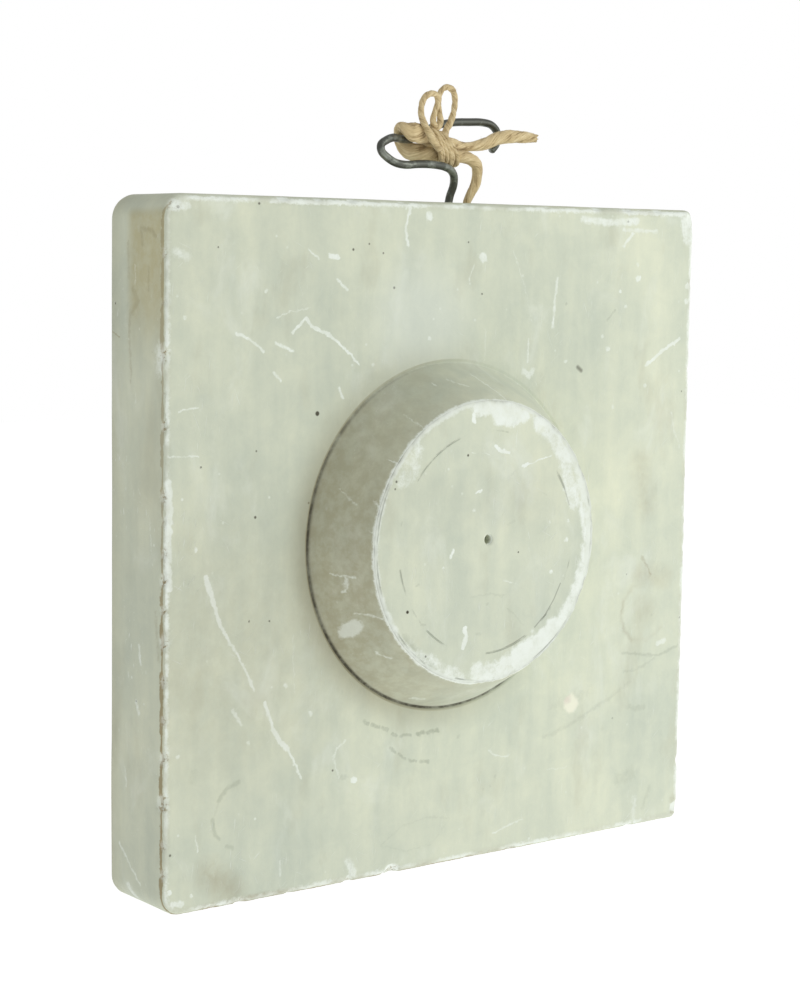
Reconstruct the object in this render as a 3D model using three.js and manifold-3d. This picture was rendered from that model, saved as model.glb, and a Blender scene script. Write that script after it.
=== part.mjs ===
// A cast plaster wall plaque: a square slab with a turned boss in its middle, an open loop of steel
// wire set in its top edge, and a short hemp cord hitched round the wire and bound with thin twine.
// Millimetres. X runs along the wall, Y into the wall and Z up; the slab's back is at Y = 0.
import * as THREE from 'three';
import { mergeVertices } from 'three/addons/utils/BufferGeometryUtils.js';
import Module from 'manifold-3d';

const wasm = await Module();
wasm.setup();

// Driving sizes of the casting.
const slabSide = 250;
const slabDepth = 37;
const cornerRadius = { topLeft: 9, topRight: 4.5, bottomRight: 3.8, bottomLeft: 8 };
const frontEdgeRound = 1.8;
const backEdgeRound = 3.4;
const boss = { x: 0.4, z: 1, baseRadius: 64.5, faceRadius: 52.4, height: 22.4, edgeRound: 1 };
const creaseWidth = 1.2; // the open joint line at the boss's foot
const creaseDepth = 0.7;
const centreHole = { x: 0.6, z: 2, mouthRadius: 1.8, endRadius: 1.2, depth: 9 };

// Driving sizes of the hanger. The wire and the cord stand in the middle of the slab's thickness.
const fitGap = 0.3;
const wireDiameter = 3;
const cordDiameter = 4.4;
const twineDiameter = 1.7;
const standY = -18;
const wireSocket = { x: 12, depth: 9 };
const cordSocket = { x: 21.2, depth: 4.5 };

// Wire: up out of the plaster, forward round the open end of the loop, back behind the knot and
// down again at its free tip.
const wireRoute = [
  [12, -18, 116.5],
  [12, -18, 122.5],
  [12.6, -18.5, 127.5],
  [13, -20, 131.5],
  [12, -21.4, 134.9],
  [9.4, -22.8, 137],
  [5, -24.2, 138.2],
  [-1.5, -25.4, 138.7],
  [-8.5, -26.2, 138.6],
  [-15, -26.2, 138.1],
  [-19.4, -25.8, 138.8],
  [-22.4, -25.1, 140.5],
  [-24.4, -24.2, 142.7],
  [-24, -23.3, 145.1],
  [-21, -22.6, 146.9],
  [-17.2, -21.6, 148.3],
  [-13.4, -20, 148.4],
  [-9.6, -18.7, 148.2],
  [-6.4, -17.1, 148.2],
  [-3, -14.4, 149.2],
  [1.2, -11.2, 151.5],
  [6, -10.2, 153.4],
  [12.5, -9.8, 154.9],
  [20.8, -9.8, 155.8],
  [28.4, -9.8, 156.3],
  [35, -9.8, 156.5],
  [39.8, -9.9, 155.6],
  [42.3, -10.3, 152.8],
  [41.6, -10.8, 148.8],
  [38.2, -11, 144.9],
];

// Hemp cord: up out of the plaster, through the neck of the knot, once round the wire, back
// through the neck and out to its free end.
const cordRoute = [
  [21.2, -18, 121],
  [21.2, -18, 124.8],
  [23, -18, 128.6],
  [25.2, -18, 132.1],
  [26.2, -18.2, 136.2],
  [25, -18.9, 139.6],
  [21.4, -19.6, 141.8],
  [17.4, -18.9, 142.5],
  [13.6, -18.2, 142.6],
  [9, -18, 142.6],
  [3, -17.9, 142.8],
  [-2.5, -17.1, 143.4],
  [-7, -14.9, 144.2],
  [-9.6, -13.2, 147.2],
  [-11, -14.2, 150.7],
  [-12.2, -17.6, 152.4],
  [-12.4, -20.5, 152.3],
  [-10.2, -22.2, 151.6],
  [-6.6, -22.1, 150.9],
  [-2.8, -20.9, 150],
  [0.8, -19.3, 148.8],
  [4.2, -18.3, 147.5],
  [9, -18, 147.3],
  [14, -17.7, 147.2],
  [19, -16.3, 146.6],
  [24, -15.7, 146.6],
  [28.2, -15.6, 147.2],
  [32, -15.6, 148.2],
  [36.4, -15.6, 149.8],
  [41, -15.6, 151],
  [46, -15.6, 151.4],
  [52, -15.6, 151.4],
  [58.5, -15.6, 151.2],
];

// The bound neck: two strands of cord, one above the other, inside several turns of twine.
const neck = { startX: 4.8, endX: 13.2, y: -18, z: 145, halfDepth: 3.6, halfHeight: 4.9 };

// Twine past the binding: a slipped bow of two tall loops and a low one between them.
const bowRoute = [
  [2.6, -24, 144.6],
  [-0.5, -24.7, 147],
  [-3.1, -25.2, 150],
  [-4.9, -24.6, 153.2],
  [-5.4, -23.2, 156.8],
  [-4.9, -22.6, 160.4],
  [-3, -22.2, 163.5],
  [0.2, -21.8, 165],
  [3.2, -21.3, 164.5],
  [4.2, -20.8, 162],
  [3.5, -20.2, 158.8],
  [3, -19.7, 155.8],
  [3.8, -19.2, 153.7],
  [5.4, -18.7, 152.9],
  [7, -18.4, 153.7],
  [7.6, -18.2, 155.8],
  [7, -18.2, 158.6],
  [6.4, -18.4, 161.8],
  [6.8, -18.4, 164.9],
  [8.3, -18.4, 167.2],
  [10.9, -18.2, 168.1],
  [13.5, -18, 167.1],
  [14.8, -17.8, 164.5],
  [14.8, -17.6, 160.8],
  [13.7, -17.7, 157],
  [12.2, -17.9, 154.4],
  [11, -18, 152.8],
];

// A closed geometry as a manifold solid, and back again.
function toSolid(geometry) {
  geometry.deleteAttribute('normal');
  geometry.deleteAttribute('uv');
  const merged = mergeVertices(geometry, 1e-4);
  return new wasm.Manifold(new wasm.Mesh({
    numProp: 3,
    vertProperties: new Float32Array(merged.attributes.position.array),
    triVerts: new Uint32Array(merged.index.array),
  }));
}

function toGeometry(solid) {
  const mesh = solid.getMesh();
  const geometry = new THREE.BufferGeometry();
  geometry.setAttribute('position', new THREE.BufferAttribute(mesh.vertProperties, 3));
  geometry.setIndex(new THREE.BufferAttribute(mesh.triVerts, 1));
  geometry.computeVertexNormals();
  return geometry;
}

// The casting is drawn lying on its back: x and y are the wall's X and Z, and z comes off the wall.
function slabOutline() {
  const half = slabSide / 2;
  const { topLeft, topRight, bottomRight, bottomLeft } = cornerRadius;
  const outline = new THREE.Shape();
  outline.absarc(half - topRight, half - topRight, topRight, 0, Math.PI / 2);
  outline.absarc(-half + topLeft, half - topLeft, topLeft, Math.PI / 2, Math.PI);
  outline.absarc(-half + bottomLeft, -half + bottomLeft, bottomLeft, Math.PI, 1.5 * Math.PI);
  outline.absarc(half - bottomRight, -half + bottomRight, bottomRight, 1.5 * Math.PI, 2 * Math.PI);
  outline.closePath();
  return outline;
}

// The outline carried from one height to another, with both its rims rounded.
function roundedBlock(bottom, top, round) {
  const block = new THREE.ExtrudeGeometry(slabOutline(), {
    depth: top - bottom - 2 * round,
    bevelThickness: round,
    bevelSize: round,
    bevelOffset: -round,
    bevelSegments: 4,
    curveSegments: 8,
  });
  block.translate(0, 0, bottom + round);
  return toSolid(block);
}

// A profile of [radius, height] points turned about an upright axis at (x, y).
function turned(profile, x, y, segments) {
  const points = profile.map(([radius, height]) => new THREE.Vector2(radius, height));
  const geometry = new THREE.LatheGeometry(points, segments);
  geometry.rotateX(Math.PI / 2);
  geometry.translate(x, y, 0);
  return toSolid(geometry);
}

function bossSolid() {
  const face = slabDepth + boss.height;
  const slope = Math.atan2(boss.height, boss.baseRadius - boss.faceRadius);
  const roundSteps = 4;
  const inset = boss.edgeRound * Math.tan(slope / 2);
  const profile = [[0, slabDepth - 4], [boss.baseRadius, slabDepth - 4], [boss.baseRadius, slabDepth]];
  for (let step = 0; step <= roundSteps; step++) {
    const angle = Math.PI / 2 - slope * (1 - step / roundSteps);
    profile.push([
      boss.faceRadius - inset + boss.edgeRound * Math.cos(angle),
      face - boss.edgeRound + boss.edgeRound * Math.sin(angle),
    ]);
  }
  profile.push([0, face]);
  return turned(profile, boss.x, boss.z, 96);
}

function creaseSolid() {
  const middle = boss.baseRadius + creaseWidth / 4;
  const above = 0.05;
  const profile = [
    [middle - creaseWidth / 2, slabDepth + above],
    [middle, slabDepth - creaseDepth],
    [middle + creaseWidth / 2, slabDepth + above],
    [middle - creaseWidth / 2, slabDepth + above],
  ];
  return turned(profile, boss.x, boss.z, 96);
}

function centreHoleSolid() {
  const face = slabDepth + boss.height;
  const { mouthRadius, endRadius, depth } = centreHole;
  const profile = [[0, face - depth], [endRadius, face - depth + 0.6], [mouthRadius, face + 1], [0, face + 1]];
  return turned(profile, centreHole.x, centreHole.z, 16);
}

// A round socket let into the top edge, for what stands in it with the fit gap all round.
function socketSolid(socket, diameter) {
  const above = 2;
  const height = socket.depth + above;
  const cylinder = new THREE.CylinderGeometry(diameter / 2 + fitGap, diameter / 2 + fitGap, height, 16);
  cylinder.translate(socket.x, slabSide / 2 + above - height / 2, -standY);
  return toSolid(cylinder);
}

function plaqueGeometry() {
  const spare = 20;
  const slab = roundedBlock(-spare, slabDepth, frontEdgeRound)
    .intersect(roundedBlock(0, slabDepth + spare, backEdgeRound));
  const casting = slab
    .add(bossSolid())
    .subtract(creaseSolid())
    .subtract(centreHoleSolid())
    .subtract(socketSolid(wireSocket, wireDiameter))
    .subtract(socketSolid(cordSocket, cordDiameter));
  const geometry = toGeometry(casting);
  geometry.rotateX(Math.PI / 2);
  return geometry;
}

// A round section carried along a smooth line through the route's points.
function tubeGeometry(route, diameter, sides, steps) {
  const line = new THREE.CatmullRomCurve3(route.map((point) => new THREE.Vector3(...point)), false, 'centripetal');
  const section = new THREE.Shape();
  section.absarc(0, 0, diameter / 2, 0, 2 * Math.PI);
  // A full circle is drawn with twice as many sides as curveSegments.
  return new THREE.ExtrudeGeometry(section, { extrudePath: line, steps, curveSegments: sides / 2 });
}

// The turns of twine as one oval sleeve round the neck, along X.
function bindingGeometry() {
  const { startX, endX, y, z, halfDepth, halfHeight } = neck;
  const sleeve = new THREE.Shape();
  sleeve.absellipse(-y, z, halfDepth + twineDiameter, halfHeight + twineDiameter, 0, 2 * Math.PI);
  const hole = new THREE.Path();
  hole.absellipse(-y, z, halfDepth, halfHeight, 0, 2 * Math.PI);
  sleeve.holes.push(hole);
  const geometry = new THREE.ExtrudeGeometry(sleeve, {
    depth: endX - startX, bevelEnabled: false, curveSegments: 12,
  });
  // The drawing's x, y and z become -Y, Z and -X.
  geometry.applyMatrix4(new THREE.Matrix4().set(0, 0, -1, endX, -1, 0, 0, 0, 0, 1, 0, 0, 0, 0, 0, 1));
  return geometry;
}

const plaster = new THREE.MeshStandardMaterial({ color: 0xccd0bd, roughness: 0.85, metalness: 0 });
const steel = new THREE.MeshStandardMaterial({ color: 0x5a5f55, roughness: 0.45, metalness: 0.9 });
const hemp = new THREE.MeshStandardMaterial({ color: 0xc2b083, roughness: 0.9, metalness: 0 });
const twine = new THREE.MeshStandardMaterial({ color: 0xb9ab7c, roughness: 0.9, metalness: 0 });

const wallPlaque = new THREE.Group();

function addPiece(name, geometry, material) {
  const mesh = new THREE.Mesh(geometry, material);
  mesh.name = name;
  wallPlaque.add(mesh);
}

addPiece('plaque', plaqueGeometry(), plaster);
addPiece('hanging_wire', tubeGeometry(wireRoute, wireDiameter, 10, 72), steel);
addPiece('hemp_cord', tubeGeometry(cordRoute, cordDiameter, 10, 60), hemp);
addPiece('twine_binding', bindingGeometry(), twine);
addPiece('twine_bow', tubeGeometry(bowRoute, twineDiameter, 8, 40), twine);

export default wallPlaque;
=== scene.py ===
import math
from types import SimpleNamespace
import bpy
import numpy as np
from mathutils import Matrix, Vector


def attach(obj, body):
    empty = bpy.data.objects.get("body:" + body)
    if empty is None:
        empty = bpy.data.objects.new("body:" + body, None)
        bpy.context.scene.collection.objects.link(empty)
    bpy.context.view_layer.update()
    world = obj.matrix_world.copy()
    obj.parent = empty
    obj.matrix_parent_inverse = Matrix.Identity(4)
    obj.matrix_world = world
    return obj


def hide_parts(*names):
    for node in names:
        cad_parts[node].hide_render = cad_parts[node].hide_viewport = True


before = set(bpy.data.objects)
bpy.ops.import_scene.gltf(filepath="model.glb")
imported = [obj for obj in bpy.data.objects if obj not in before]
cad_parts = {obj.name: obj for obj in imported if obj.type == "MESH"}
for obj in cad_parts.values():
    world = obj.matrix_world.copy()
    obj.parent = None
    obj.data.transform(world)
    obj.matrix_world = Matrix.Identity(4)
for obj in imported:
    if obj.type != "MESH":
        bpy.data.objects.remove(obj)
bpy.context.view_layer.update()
print("frame loaded")


# camera
# Where the viewer stands, in metres, and how the camera is turned, in degrees.
viewer = dict(place=(-0.5159, -0.67185, 0.1035), turn=-37.80, tilt=-6.23, roll=0.84, lens=79.3)


def setCamera():
    camera = bpy.data.objects.new("viewer", bpy.data.cameras.new("viewer"))
    bpy.context.scene.collection.objects.link(camera)
    camera.data.lens = viewer["lens"]
    camera.data.sensor_width = 36
    turned = Matrix.Rotation(math.radians(viewer["turn"]), 4, "Z")
    tipped = Matrix.Rotation(math.radians(90 + viewer["tilt"]), 4, "X")
    rolled = Matrix.Rotation(math.radians(viewer["roll"]), 4, "Z")
    camera.matrix_world = Matrix.Translation(viewer["place"]) @ turned @ tipped @ rolled
    camera.data.clip_start = 0.05
    camera.data.clip_end = 50
    bpy.context.scene.camera = camera
    bpy.context.scene.view_settings.view_transform = "Standard"


setCamera()
print("camera set")


# shapes as grids of points
def randomField(points, size, seed):
    # a smooth field from -1 to 1: random numbers on a cubic lattice of this size, eased between its corners
    cells = 32  # the lattice repeats after this many
    farAlong = 4096.5  # keeps every place on it positive
    table = np.random.default_rng(seed).uniform(-1, 1, (cells, cells, cells))
    place = points / size + farAlong
    corner = np.floor(place).astype(int)
    part = place - corner
    ease = part * part * (3 - 2 * part)
    total = np.zeros(points.shape[:-1])
    for step in np.ndindex(2, 2, 2):
        share = np.prod(np.where(step, ease, 1 - ease), axis=-1)
        cell = (corner + step) % cells
        total += share * table[cell[..., 0], cell[..., 1], cell[..., 2]]
    return total


def roughField(points, size, seed):
    # three random fields, each half the size and half the strength of the one before
    return sum(randomField(points, size / 2 ** k, seed + k) / 2 ** k for k in range(3)) / 1.4


def easeStep(low, high, value):
    # 0 before low, 1 past high, and a smooth step between; low may be the larger
    part = np.clip((value - low) / (high - low), 0, 1)
    return part * part * (3 - 2 * part)


def unit(vectors):
    return vectors / np.maximum(np.linalg.norm(vectors, axis=-1, keepdims=True), 1e-12)


def smoothRoute(points, spacing):
    # a centripetal Catmull-Rom curve through the points, cut at even lengths; further columns ride along
    points = np.array(points, float)
    padded = np.vstack([2 * points[0] - points[1], points, 2 * points[-1] - points[-2]])
    before, start, end, after = padded[:-3], padded[1:-2], padded[2:-1], padded[3:]
    pull = [np.sqrt(np.linalg.norm((b - a)[:, :3], axis=1))[:, None]
            for a, b in ((before, start), (start, end), (end, after))]
    leave = (start - before) / pull[0] - (end - before) / (pull[0] + pull[1]) + (end - start) / pull[1]
    arrive = (end - start) / pull[1] - (after - start) / (pull[1] + pull[2]) + (after - end) / pull[2]
    leave, arrive = leave * pull[1], arrive * pull[1]
    start, end, leave, arrive = (v[:, None, :] for v in (start, end, leave, arrive))
    stepsBetween = 24
    t = np.linspace(0, 1, stepsBetween, endpoint=False)[None, :, None]
    bent = (2 * start - 2 * end + leave + arrive) * t ** 3
    curve = start + leave * t + (3 * end - 3 * start - 2 * leave - arrive) * t ** 2 + bent
    curve = np.vstack([curve.reshape(-1, points.shape[1]), points[-1]])
    run = np.append(0, np.cumsum(np.linalg.norm(np.diff(curve[:, :3], axis=0), axis=1)))
    even = np.linspace(0, run[-1], int(round(run[-1] / spacing)) + 1)
    return np.stack([np.interp(even, run, curve[:, k]) for k in range(points.shape[1])], axis=1), even


def sweep(path, guide, deep, wide, around):
    # an oval section carried along the path: deep is its half size towards the guide, wide the one across it
    forward = unit(np.gradient(path, axis=0))
    guide = np.broadcast_to(np.asarray(guide, float), path.shape)
    toGuide = unit(guide - forward * np.sum(guide * forward, axis=1, keepdims=True))
    across = np.cross(toGuide, forward)
    turn = around[None, :, None]
    return (path[:, None] + toGuide[:, None] * deep[..., None] * np.cos(turn)
            + across[:, None] * wide[..., None] * np.sin(turn))


def layPlace(lay, run, radius, stretch=1):
    # a place on a drum that turns with the lay, so that a field read there follows the fibres
    reach = np.broadcast_to(run[:, None], lay.shape)
    return np.stack([np.cos(lay) * radius, np.sin(lay) * radius, reach * stretch], axis=-1)


def closedMesh(name, grid, startPole, endPole, numbers=None, vectors=None):
    # rows of points, each row closed round, and a fan of triangles to the pole at either end; grid in mm
    rows, columns = grid.shape[:2]
    points = np.vstack([grid.reshape(-1, 3), startPole, endPole]) / 1000
    row, column = np.meshgrid(np.arange(rows - 1), np.arange(columns), indexing="ij")
    here = row * columns + column
    beside = row * columns + (column + 1) % columns
    quads = np.stack([here, here + columns, beside + columns, beside], axis=-1).reshape(-1, 4)
    rim = np.arange(columns)
    nextRim = (rim + 1) % columns
    lastRow = (rows - 1) * columns
    startFan = np.stack([np.full(columns, rows * columns), rim, nextRim], axis=1)
    endFan = np.stack([np.full(columns, rows * columns + 1), lastRow + nextRim, lastRow + rim], axis=1)
    corners = np.concatenate([quads.ravel(), startFan.ravel(), endFan.ravel()])
    sizes = np.concatenate([np.full(len(quads), 4), np.full(2 * columns, 3)])
    starts = np.append(0, np.cumsum(sizes)[:-1])
    mesh = bpy.data.meshes.new(name)
    mesh.vertices.add(len(points))
    mesh.vertices.foreach_set("co", points.ravel())
    mesh.loops.add(len(corners))
    mesh.loops.foreach_set("vertex_index", corners)
    mesh.polygons.add(len(sizes))
    mesh.polygons.foreach_set("loop_start", starts)
    mesh.update(calc_edges=True)
    mesh.polygons.foreach_set("use_smooth", np.ones(len(sizes), bool))
    for label, values in (numbers or {}).items():
        full = np.concatenate([values.ravel(), values[0, :1], values[-1, :1]])
        mesh.attributes.new(label, "FLOAT", "POINT").data.foreach_set("value", full)
    for label, values in (vectors or {}).items():
        full = np.vstack([values.reshape(-1, 3), values[0, :1], values[-1, :1]])
        mesh.attributes.new(label, "FLOAT_VECTOR", "POINT").data.foreach_set("vector", full.ravel())
    mesh.validate()
    piece = bpy.data.objects.new(name, mesh)
    bpy.context.scene.collection.objects.link(piece)
    return piece


# hemp cord
cordSizes = dict(
    thickness=4.4,
    strandCount=3,
    twistLength=30,  # length of one turn of the strands
    grooveDepth=0.09,
    frayLength=3.5,
    spacing=0.42,
    sides=40,
)
# The route in mm, and the cord's half sizes there along the wall and away from it: it is soft tow, squeezed
# flat where it is hitched round the wire and swollen again in its free tail. The hitch sits tighter here
# than in the CAD, by up to about 2 mm.
cordRoute = [
    (21.2, -18, 121, 1.5, 1.5), (21.2, -18, 124.8, 1.5, 1.5), (23, -18, 128.6, 1.7, 1.7),
    (25.2, -18, 132.1, 1.95, 1.8), (26.2, -18.2, 136.2, 2.2, 1.9), (25, -18.9, 139.6, 2.35, 2.1),
    (21.4, -19.6, 141.8, 2.3, 2.2), (17.4, -18.9, 142.5, 2.4, 2.3), (13.6, -18.2, 142.6, 2.4, 2.4),
    (9, -18, 142.6, 2.6, 2.4), (3, -17.9, 142.8, 3.0, 2.2), (-2.5, -17.1, 143.4, 3.3, 2.0),
    (-5.4, -15.4, 144.4, 3.5, 1.9), (-7.4, -13.6, 147.2, 2.6, 1.8), (-9, -14.6, 150.7, 2.2, 1.8),
    (-10.4, -17.8, 152.4, 2.3, 1.8), (-10.7, -20.8, 151.9, 3.0, 1.8), (-9, -22.5, 150.6, 3.5, 1.7),
    (-6.2, -22.4, 150.2, 3.6, 1.7), (-2.8, -21, 149.6, 3.3, 1.8), (0.8, -19.3, 148.8, 2.9, 2.0),
    (4.2, -18.3, 147.5, 2.5, 2.3), (9, -18, 147.3, 2.4, 2.4), (14, -17.7, 147.2, 2.15, 2.1),
    (19, -16.3, 146.6, 1.85, 1.8), (24, -15.7, 146.6, 1.75, 1.75), (28.2, -15.6, 147.2, 2.0, 1.9),
    (32, -15.6, 148.2, 2.35, 2.1), (36.4, -15.6, 149.8, 2.6, 2.15), (41, -15.6, 151, 2.65, 2.15),
    (46, -15.6, 151.4, 2.55, 2.05), (52, -15.6, 151.4, 2.2, 1.8), (58.5, -15.6, 151.2, 1.55, 1.25),
]


def makeCord():
    # an oval section swept along the route, cut by shallow spiral grooves and roughened along its fibres
    sized, run = smoothRoute(cordRoute, cordSizes["spacing"])
    path, wide, deep = sized[:, :3], sized[:, 3], sized[:, 4]
    length = run[-1]
    # the section faces the wall, and turns over where the cord comes forward round the wire
    bottom, top = np.array(cordRoute[13][:3]), np.array(cordRoute[17][:3])
    turnStart, turnEnd = (run[np.argmin(np.linalg.norm(path - place, axis=1))] for place in (bottom, top))
    turned = np.pi * easeStep(turnStart, turnEnd, run)
    guide = np.stack([0 * turned, np.cos(turned), np.sin(turned)], axis=1)
    around = np.linspace(0, 2 * np.pi, cordSizes["sides"], endpoint=False)
    lay = around[None, :] - 2 * np.pi * run[:, None] / cordSizes["twistLength"]
    strands = np.abs(np.cos(cordSizes["strandCount"] * lay / 2))
    ropey = 1 - cordSizes["grooveDepth"] * (1 - strands) ** 1.6
    drum = layPlace(lay, run, cordSizes["thickness"] / 2, 0.12)
    lean = layPlace(lay, run, cordSizes["thickness"] / 2)
    fibre = 1 + 0.05 * roughField(drum, 0.9, 11) + 0.05 * randomField(drum, 0.28, 14)
    swell = ropey * fibre * (1 + 0.07 * randomField(lean, 4.5, 17))
    grid = sweep(path, guide, deep[:, None] * swell, wide[:, None] * swell, around)
    # the free end frays: its last rows pull apart into tufts
    fray = easeStep(length - cordSizes["frayLength"], length, run)[:, None]
    grid[..., 0] += fray * (1.5 * randomField(drum, 0.5, 21) - 0.5)
    piece = closedMesh("hemp_cord_twisted", grid, path[0], path[-1] - (0.8, 0, 0),
                       {"groove": 1 - strands}, {"lay": lean})
    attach(piece, "root")
    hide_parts("hemp_cord")
    print("cord length mm", round(length, 1))
    return piece, path


hempCord, cordPath = makeCord()


# twine
twineSizes = dict(
    thickness=1.7,
    turns=6,  # turns round the neck
    startX=12.4,  # the turns run from here towards the bow
    pitch=1.75,
    lean=3.3,  # how far each turn slopes from its top to its foot
    centreY=-18.0,
    foot=139.3,
    top=(150.5, 153.2),  # the turns climb the cord as they near the bow
    halfDepth=(3.35, 4.6),
    bowSwell=0.26,  # the slack twine of the bow has opened out
    twistLength=7.5,
    spacing=0.4,
    sides=16,
)
bowRoute = [
    (2.6, -24, 144.6), (-0.5, -24.7, 147), (-3.1, -25.2, 150), (-4.9, -24.6, 153.2), (-5.4, -23.2, 156.8),
    (-4.9, -22.6, 160.4), (-3, -22.2, 163.5), (0.2, -21.8, 165), (3.2, -21.3, 164.5), (4.2, -20.8, 162),
    (3.5, -20.2, 158.8), (3, -19.7, 155.8), (3.8, -19.2, 153.7), (5.4, -18.7, 152.9), (7, -18.4, 153.7),
    (7.6, -18.2, 155.8), (7, -18.2, 158.6), (6.4, -18.4, 161.8), (6.8, -18.4, 164.9), (8.3, -18.4, 167.2),
    (10.9, -18.2, 168.1), (13.5, -18, 167.1), (14.8, -17.8, 164.5), (14.8, -17.6, 160.8), (13.7, -17.7, 157),
    (12.2, -17.9, 154.4), (11, -18, 152.8), (9.8, -18.6, 151), (9, -19.6, 149.4),
]


def makeTwine():
    # a sloping oval helix round the neck, which then rises into the bow
    size = twineSizes
    angle = np.radians(np.arange(90, 90 + 360 * size["turns"] + 91, 20))
    done = (angle - angle[0]) / (2 * np.pi)
    share = done / size["turns"]
    top = size["top"][0] + (size["top"][1] - size["top"][0]) * share
    depth = size["halfDepth"][0] + (size["halfDepth"][1] - size["halfDepth"][0]) * share
    slope = size["lean"] * (1 + 0.18 * np.sin(angle * 0.37 + 1))
    turnsRoute = np.stack([
        size["startX"] - size["pitch"] * done - slope * np.sin(angle),
        size["centreY"] + depth * np.cos(angle),
        (top + size["foot"]) / 2 + (top - size["foot"]) / 2 * np.sin(angle),
    ], axis=1)
    path, run = smoothRoute(np.vstack([turnsRoute, bowRoute]), size["spacing"])
    turning = np.linalg.norm(np.diff(turnsRoute, axis=0), axis=1).sum()
    leaving = easeStep(turning - 3, turning + 6, run)[:, None]
    guide = (1 - leaving) * np.array([1.0, 0, 0]) + leaving * np.array([0, 1.0, 0])
    around = np.linspace(0, 2 * np.pi, size["sides"], endpoint=False)
    lay = around[None, :] - 2 * np.pi * run[:, None] / size["twistLength"]
    strands = np.abs(np.cos(lay))
    drum = layPlace(lay, run, 1, 0.2)
    half = size["thickness"] / 2 * (0.97 + 0.1 * strands) * (1 + 0.1 * roughField(drum, 0.8, 31))
    # the bow swells as it leaves the turns, and most of all low down, where its legs meet
    swell = size["bowSwell"] * leaving[:, 0] * (1 + 0.9 * easeStep(159, 153, path[:, 2]))
    half = half * (1 + 0.12 * randomField(path, 5, 35) + swell)[:, None]
    grid = sweep(path, guide, half, half, around)
    lean = layPlace(lay, run, size["thickness"] / 2)
    piece = closedMesh("twine_lashing", grid, path[0], path[-1], {"groove": 1 - strands}, {"lay": lean})
    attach(piece, "root")
    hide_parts("twine_binding", "twine_bow")
    print("twine length mm", round(run[-1], 1))
    return piece, path


twine, twinePath = makeTwine()


# stray fibres
fuzz = dict(
    count=150,
    reach=2.6,
    half=0.05,
    bareRows=40,  # the cord's first rows, which have no hairs
    endRows=18,  # the frayed end's rows, which have three times as many
    fromCord=1.7,  # how far out from the middle of the cord, or of the twine, a hair starts
    fromTwine=0.6,
    seed=5,
)


def makeFuzz():
    # thin curved hairs that leave the cord and the twine sideways, each a three-sided tapering tube
    rng = np.random.default_rng(fuzz["seed"])
    frayed = cordPath[-fuzz["endRows"]:]
    cordPlaces = np.vstack([cordPath[fuzz["bareRows"]:], frayed, frayed])
    source = np.vstack([cordPlaces, twinePath[::2]])
    pick = rng.integers(0, len(source), fuzz["count"])
    outward = unit(rng.normal(size=(fuzz["count"], 3)))
    bend = unit(rng.normal(size=(fuzz["count"], 3)))
    offset = np.where(pick < len(cordPlaces), fuzz["fromCord"], fuzz["fromTwine"])[:, None]
    t = np.linspace(0, 1, 6)[None, :, None]
    reach = (fuzz["reach"] * rng.uniform(0.4, 1, fuzz["count"]))[:, None, None]
    root = (source[pick] + outward * offset)[:, None]
    line = root + outward[:, None] * reach * t * 0.7 + bend[:, None] * reach * t ** 2 * 0.7
    along = unit(np.gradient(line, axis=1))
    first = unit(np.cross(along, unit(outward[:, None] + bend[:, None] * 0.3 + 0.01)))
    second = np.cross(first, along)
    turn = np.radians([0, 120, 240])[None, None, :, None]
    taper = (fuzz["half"] * (1.05 - t))[:, :, None]
    ring = line[:, :, None] + taper * (first[:, :, None] * np.cos(turn) + second[:, :, None] * np.sin(turn))
    count, steps = ring.shape[:2]
    points = ring.reshape(-1, 3) / 1000
    hair, step, side = np.meshgrid(np.arange(count), np.arange(steps - 1), np.arange(3), indexing="ij")
    here = (hair * steps + step) * 3 + side
    beside = (hair * steps + step) * 3 + (side + 1) % 3
    quads = np.stack([here, here + 3, beside + 3, beside], axis=-1).reshape(-1, 4)
    root = np.arange(count) * steps * 3
    tip = root + (steps - 1) * 3
    caps = np.vstack([np.stack([root, root + 1, root + 2], 1), np.stack([tip + 2, tip + 1, tip], 1)])
    mesh = bpy.data.meshes.new("hemp_fuzz")
    mesh.from_pydata(points.tolist(), [], quads.tolist() + caps.tolist())
    mesh.polygons.foreach_set("use_smooth", np.ones(len(mesh.polygons), bool))
    piece = bpy.data.objects.new("hemp_fuzz", mesh)
    bpy.context.scene.collection.objects.link(piece)
    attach(piece, "root")
    return piece


strayFibres = makeFuzz()
print("cord, twine and fibres made")


# steel wire
wireSizes = dict(
    thickness=3.0,
    endRound=0.8,  # how far from a cut end the rounding starts
    spacing=0.5,
    sides=24,
)
# In mm. The stretch inside the hitch and the free end sit up to about 1.6 mm from where the CAD has them.
wireRoute = [
    (12, -18, 116.5), (12, -18, 122.5), (12.6, -18.5, 127.5), (13, -20, 131.5), (12, -21.4, 134.9),
    (9.4, -22.8, 137), (5, -24.2, 138.2), (-1.5, -25.4, 138.7), (-8.5, -26.2, 138.6), (-15, -26.2, 138.1),
    (-19.4, -25.8, 138.8), (-22.4, -25.1, 140.5), (-24.4, -24.2, 142.7), (-24, -23.3, 145.1),
    (-21, -22.6, 146.9), (-17.2, -21.4, 148), (-13.4, -19.7, 148), (-9.6, -18.3, 147.9),
    (-6.4, -16.9, 148), (-3, -14.4, 148.6), (1.2, -11.4, 150), (6, -10.2, 151.8), (12.5, -9.8, 154.2),
    (20.8, -9.8, 155.8), (28.4, -9.8, 156.3), (35, -9.8, 156.5), (39.8, -9.9, 155.6), (42.3, -10.3, 152.8),
    (41.6, -10.8, 148.8), (38.8, -10.8, 145.6),
]


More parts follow.
